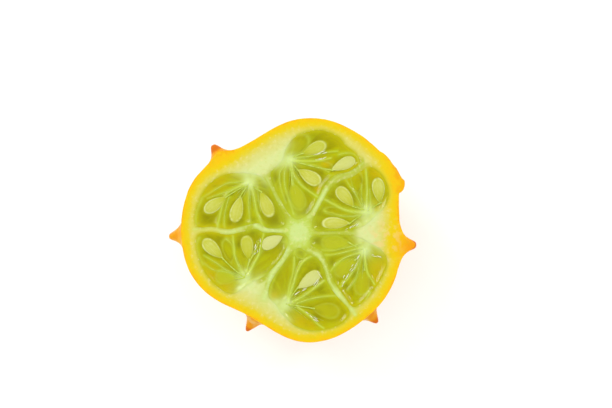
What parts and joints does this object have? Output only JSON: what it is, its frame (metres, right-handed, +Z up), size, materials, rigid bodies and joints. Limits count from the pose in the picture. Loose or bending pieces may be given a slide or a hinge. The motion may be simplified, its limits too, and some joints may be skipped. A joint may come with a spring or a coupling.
{
  "type": "horned melon half",
  "caption": "Half of a ripe horned melon cut across: a spiky orange rind with pale walls of flesh around pockets of green jelly and fans of flat seeds, standing on its lowest horns.",
  "frame": {"origin": "on the surface that the half stands on, under the middle of its bounding box", "axes": "+Z up along the fruit's length, square to the cut face; +X towards the horn that the knife split at the widest side of the cut face"},
  "size_m": [0.0768, 0.0696, 0.0558],
  "materials": {
    "rind": "waxy satin orange-yellow skin over pale flesh",
    "pulp": "wet, translucent olive-green jelly",
    "seeds": "moist pale cream-green seeds and strands"
  },
  "bodies": {
    "root": {"rind": "rind", "pulp_1": "pulp", "pulp_2": "pulp", "pulp_3": "pulp", "pulp_4": "pulp", "pulp_5": "pulp", "pulp_6": "pulp", "seeds_1": "seeds", "seeds_2": "seeds", "seeds_3": "seeds", "seeds_4": "seeds", "seeds_5": "seeds", "seeds_6": "seeds"}
  },
  "joints": []
}
